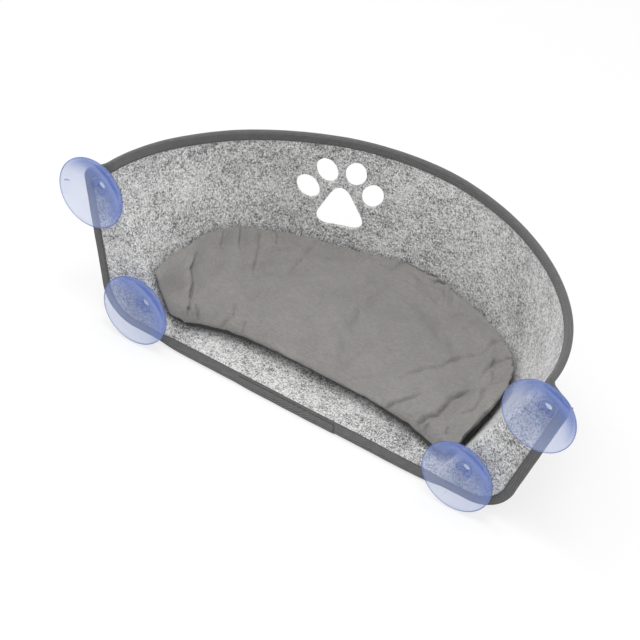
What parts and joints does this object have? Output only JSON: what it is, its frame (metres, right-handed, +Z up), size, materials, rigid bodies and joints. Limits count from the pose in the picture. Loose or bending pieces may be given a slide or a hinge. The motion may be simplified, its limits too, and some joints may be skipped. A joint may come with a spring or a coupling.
{
  "type": "window mounted cat perch",
  "caption": "Felt window perch for a cat: a bowl-shaped shelf with a bound edge and a paw-shaped cut-out, held to the glass by suction cups and lined with a loose cushion.",
  "frame": {"origin": "a point on the window pane, on the centre line of the perch and midway between the upper and the lower pair of suction cups", "axes": "+X along the window, to the right for someone who looks at it from the glass side; +Y from the glass into the room; +Z up"},
  "size_m": [0.571, 0.2333, 0.1853],
  "materials": {
    "felt": "thick pressed felt, light grey with dark and pale fibres",
    "binding": "ribbed dark grey tape folded over the edge",
    "cup": "clear soft plastic with a blue tint, glossy",
    "cushion_cloth": "plain matt woven cotton, warm grey, softly wrinkled",
    "filling": "white fibre filling, hidden inside the cover"
  },
  "bodies": {
    "shell": {"felt_shell": "felt", "edge_binding": "binding"},
    "upper_left_cup": {"upper_left_cup": "cup"},
    "upper_right_cup": {"upper_right_cup": "cup"},
    "lower_left_cup": {"lower_left_cup": "cup"},
    "lower_right_cup": {"lower_right_cup": "cup"},
    "cushion": {"cushion_top_panel": "cushion_cloth", "cushion_bottom_panel": "cushion_cloth", "cushion_filling": "filling"}
  },
  "joints": [
    {"name": "upper_left_turn", "type": "hinge", "parent": "shell", "child": "upper_left_cup", "pos_m": [-0.248, 0.019, 0.0545], "axis": [0, 1, 0], "continuous": true},
    {"name": "upper_right_turn", "type": "hinge", "parent": "shell", "child": "upper_right_cup", "pos_m": [0.248, 0.019, 0.0545], "axis": [0, 1, 0], "continuous": true},
    {"name": "lower_left_turn", "type": "hinge", "parent": "shell", "child": "lower_left_cup", "pos_m": [-0.184, 0.019, -0.0545], "axis": [0, 1, 0], "continuous": true},
    {"name": "lower_right_turn", "type": "hinge", "parent": "shell", "child": "lower_right_cup", "pos_m": [0.184, 0.019, -0.0545], "axis": [0, 1, 0], "continuous": true},
    {"name": "cushion_lift", "type": "slide", "parent": "shell", "child": "cushion", "axis": [0, 0, 1], "range_m": [0, 0.25]}
  ]
}
